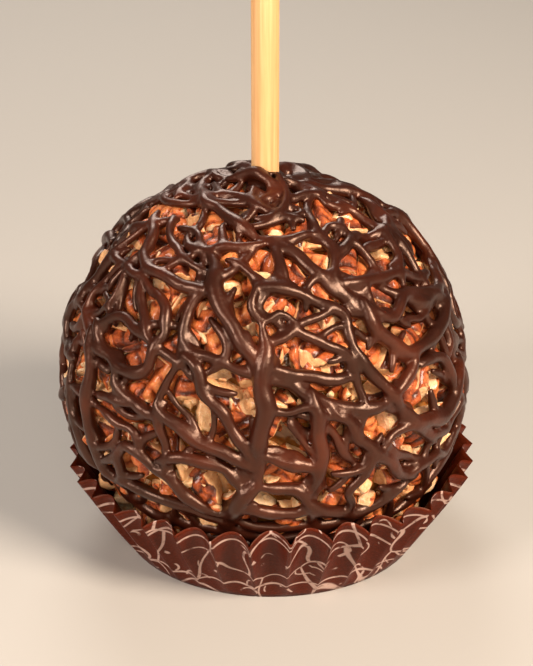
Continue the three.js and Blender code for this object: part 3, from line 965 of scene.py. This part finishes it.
# %% [markdown]
# ## Stick
#
# The stick is a plain birch dowel. A turned dowel isn't quite round or straight-sided, and its
# end is only broken with sandpaper, so its outline is lathed here with a soft edge and wanders by
# a few hundredths of a millimetre. The grain runs along it in long, thin streaks.

# %% Birch dowel
birch = Finish("birch", Roughness=0.62)
at = birch.place()
streaks = birch.noise(birch.stretch(at, (900, 900, 14)), 1.0, 4, 0.6)
flecks = birch.noise(birch.stretch(at, (2600, 2600, 90)), 1.0, 2, 0.5)
wood = birch.ramp(streaks * 0.75 + flecks * 0.25, (0.25, colour(190, 134, 82)),
                  (0.5, colour(214, 162, 106)), (0.75, colour(232, 190, 138)))
birch.surface("Base Color", wood)
birch.surface("Normal", birch.bump(streaks * 0.6 + flecks * 0.4, 0.00025, 0.6))


def dowel(around=96, rows=60):
    low, high = stick_low[2], stick_high[2]
    ends = [(0.0, 0.0), (0.86, 0.0), (0.96, 0.15), (1.0, 0.6)]
    shaft = [(1.0, z) for z in np.linspace(0, high - low, rows)[1:-1]]
    outline = ends + shaft + [(share, high - low - z) for share, z in ends[::-1]]
    turn = np.linspace(0, 2 * math.pi, around, endpoint=False)
    share, z = np.array(outline).T[..., None]
    wander = 1 + 0.006 * np.sin(2 * turn + 0.03 * z) + 0.004 * np.sin(5 * turn + 0.05 * z)
    radius = STICK_RADIUS * share * wander
    points = np.stack([AXIS[0] + radius * np.cos(turn), AXIS[1] + radius * np.sin(turn),
                       low + z + 0 * turn], -1)
    return points.reshape(-1, 3), ring_faces(len(outline), around)


stick_piece = to_piece("birch_stick", *dowel(), birch)

# %% [markdown]
# ## Paper case
#
# A paper case is a flat disc of greaseproof paper pressed into pleats. Each pleat is a sharp
# ridge outside with a round bulge inside, and it fades out towards the flat base. The disc's
# printed net of thin lines is pressed along with it, so every point also remembers where it lay
# on the flat disc: that is what the finish reads, and the lines then run over ridge and hollow
# as real print does.

# %% Pleated case
PLEATS = 34
PLEAT_DEPTH = 4.3
CASE_BASE_RADIUS = 36.5
CASE_RISE = 21.0                       # height of the ridges at the rim
PAPER = 0.16
case_middle = (case_low + case_high) / 2
CASE_FLARE = (case_high[0] - case_low[0]) / 2 - CASE_BASE_RADIUS
SLANT = math.hypot(CASE_FLARE, CASE_RISE)
RIM_TILT = 0.5


def case_sheet(inset, raised, per_pleat=18, rows=20, base_rows=7):
    """One face of the paper: points, and where each lay on the flat disc."""
    turn = np.linspace(0, 2 * math.pi, PLEATS * per_pleat, endpoint=False)
    phase = PLEATS * turn / 2 + 0.10 * np.sin(3 * turn) + 0.08 * np.sin(7 * turn + 1)
    share = np.linspace(0, 1, rows)[:, None]
    wave = np.abs(np.sin(phase)) ** 0.75
    uneven = 0.78 + 0.1 * np.sin(5 * turn + 2) + 0.06 * np.sin(11 * turn) - 0.12 * np.cos(2 * turn)
    out = CASE_FLARE * share - PLEAT_DEPTH * uneven * share * wave
    # The paper can't stretch, so a bulge that comes in also reaches up.
    up = np.sqrt((SLANT * share) ** 2 - out**2)
    bow = 0.45 * np.sin(math.pi * share) * (1 - 2 * wave)
    rim_wave = share**3 * (0.3 * np.sin(2 * turn + 4) + 0.25 * np.sin(9 * turn))
    radius = CASE_BASE_RADIUS + out + bow - inset
    z = up + RIM_TILT * share * np.cos(turn) + rim_wave + raised * (share == 0)
    wall = np.stack([radius * np.cos(turn), radius * np.sin(turn), z], -1)
    flat = CASE_BASE_RADIUS + SLANT * share + 0 * turn
    inner = np.linspace(0.0, 1, base_rows, endpoint=False)[:, None] * (CASE_BASE_RADIUS - inset)
    floor = np.stack([inner * np.cos(turn), inner * np.sin(turn), raised + 0 * inner * turn], -1)
    points = np.concatenate([floor, wall])
    flat = np.concatenate([inner + 0 * turn, flat])
    disc = np.stack([flat * np.cos(turn), flat * np.sin(turn), flat], -1)
    return points, disc


def paper_case():
    outside, disc = case_sheet(0.0, 0.0)
    inside, _ = case_sheet(PAPER, PAPER)
    rows, around = outside.shape[:2]
    points = np.concatenate([outside, inside[::-1]]).reshape(-1, 3)
    flat = np.concatenate([disc, disc[::-1]]).reshape(-1, 3)
    within = np.repeat([0.0, 1.0], rows * around)
    points[:, :2] += case_middle[:2]
    return points, ring_faces(2 * rows, around), {"flat": flat, "within": within}


paper = Finish("brown_paper", Roughness=0.42, Specular_IOR_Level=0.22,
               Specular_Tint=(1, 0.7, 0.5, 1))
disc = paper.told("flat", "Vector")
ring = paper.node("ShaderNodeSeparateXYZ", {}, {0: disc}).out(2)


def thin_line(distance, half_width):
    """1 on a line of that half width, 0 away from it."""
    away = paper.node("ShaderNodeMath", {"operation": "ABSOLUTE"}, {0: distance}).out()
    return 1 - paper.step(away, half_width * 0.6, half_width * 1.3)


def either(first, second):
    return paper.node("ShaderNodeMath", {"operation": "MAXIMUM"}, {0: first, 1: second}).out()


wobble = paper.noise(disc, 0.07, 0, 0.4, "Color")
bent = paper.node("ShaderNodeVectorMath", {"operation": "MULTIPLY_ADD"},
                  {0: wobble, 1: (9, 9, 0), 2: disc}).out()


def cells(feature, scale):
    """Distances in a flat pattern of uneven cells, each about 1 / scale mm across."""
    return paper.node("ShaderNodeTexVoronoi", {"feature": feature, "voronoi_dimensions": "2D"},
                      {"Vector": bent, "Scale": scale}).out("Distance")


wave = paper.noise(disc, 0.1, 1, 0.4)
patch = paper.noise(disc, 0.16, 1, 0.5)
lines = thin_line(cells("DISTANCE_TO_EDGE", 0.07), 0.023)
scrolls = thin_line(cells("F1", 0.12) - 0.32, 0.034) * paper.step(patch, 0.52, 0.56)
lines = either(lines, scrolls)
lines = either(lines, thin_line(ring + wave * 3 - (CASE_BASE_RADIUS + SLANT - 1.6), 0.36))
lines = either(lines, thin_line(ring + wave * 4 - (CASE_BASE_RADIUS + 7), 0.32))
worn = paper.noise(disc, 0.5, 3, 0.6)
lines = lines * paper.step(worn, 0.25, 0.5) * 0.85
fibre = paper.noise(disc, 1.6, 5, 0.7)
brown = paper.ramp(fibre, (0.3, colour(56, 13, 2)), (0.6, colour(83, 24, 7)),
                   (0.8, colour(104, 35, 13)))
inner_brown = paper.ramp(fibre, (0.3, colour(60, 17, 5)), (0.7, colour(88, 30, 12)))
printed = paper.blend(lines, brown, paint(196, 164, 150))
paper.surface("Base Color", paper.blend(paper.told("within"), printed, inner_brown))
paper.surface("Normal", paper.bump(fibre, 0.00012, 0.5))

points, faces, values = paper_case()
case_piece = to_piece("pleated_case", points, faces, paper, values)

# %% [markdown]
# ## What rides on what
#
# All of it is one thing that is picked up together, so every piece rides on the one body. Each
# stands for a plain solid of the frame, which it hides.

# %% Rides and stand-ins
standing_for = [
    (core, "coated_apple", "nut_coat"), *[(piece, "coated_apple", "nut_coat") for piece in nuts],
    (net_piece, "chocolate_drizzle", "dark_chocolate"), (stick_piece, "stick", "birch"),
    (case_piece, "paper_case", "brown_paper"),
]
for piece, node, slot in standing_for:
    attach(piece, "root")
    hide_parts(node)
print("pieces:", [piece.name for piece, _, _ in standing_for])

# %% [markdown]
# ## Floor and light
#
# The floor is a wide, pale, plain dish that curves up far away all round, so no edge of it
# shows. Large soft lights give chocolate its long, soft highlights: a warm one high on the
# right, a weaker one on the left, a faint one in front, and one behind that draws the rim of
# the ball.

# %% Floor
plain = Finish("pale_floor", Roughness=0.8, Base_Color=paint(176, 171, 164))


def floor_dish(flat=1.5, bend=0.6, wall=2.4, steps=12, around=72):
    outline = [(0.001, 0.0), (flat / 2, 0.0), (flat, 0.0)]
    outline += [(flat + bend * math.sin(a), bend * (1 - math.cos(a)))
                for a in np.linspace(0, math.pi / 2, steps + 1)[1:]]
    outline.append((flat + bend, wall))
    turn = np.linspace(0, 2 * math.pi, around, endpoint=False)
    radius, z = np.array(outline).T[..., None] / MM
    points = np.stack([radius * np.cos(turn), radius * np.sin(turn), z + 0 * turn], -1)
    return points.reshape(-1, 3), ring_faces(len(outline), around)


floor = to_piece("floor", *floor_dish(), plain)


# %% Lights
def soft_light(name, place, size, power, tint):
    lamp = bpy.data.lights.new(name, "AREA")
    lamp.shape, lamp.size, lamp.energy, lamp.color = "DISK", size, power, tint
    holder = bpy.data.objects.new(name, lamp)
    holder.location = place
    aim = Vector((0, 0, 0.05)) - Vector(place)
    holder.rotation_euler = aim.to_track_quat("-Z", "Y").to_euler()
    bpy.context.scene.collection.objects.link(holder)


soft_light("key", (0.5, -0.5, 0.55), 0.36, 15.0, (1.0, 0.86, 0.72))
soft_light("fill", (-0.6, -0.5, 0.45), 0.35, 6.5, (1.0, 0.89, 0.82))
soft_light("front", (0.05, -0.9, 0.5), 0.3, 2.0, (1.0, 0.9, 0.8))
soft_light("back", (-0.15, 0.7, 0.7), 0.5, 5.0, (1.0, 0.94, 0.88))
world = bpy.data.worlds.new("room")
bpy.context.scene.world = world
world.use_nodes = True
world.node_tree.nodes["Background"].inputs["Color"].default_value = (1.0, 0.95, 0.9, 1)
world.node_tree.nodes["Background"].inputs["Strength"].default_value = 0.12

bpy.context.scene.view_settings.view_transform = "Standard"
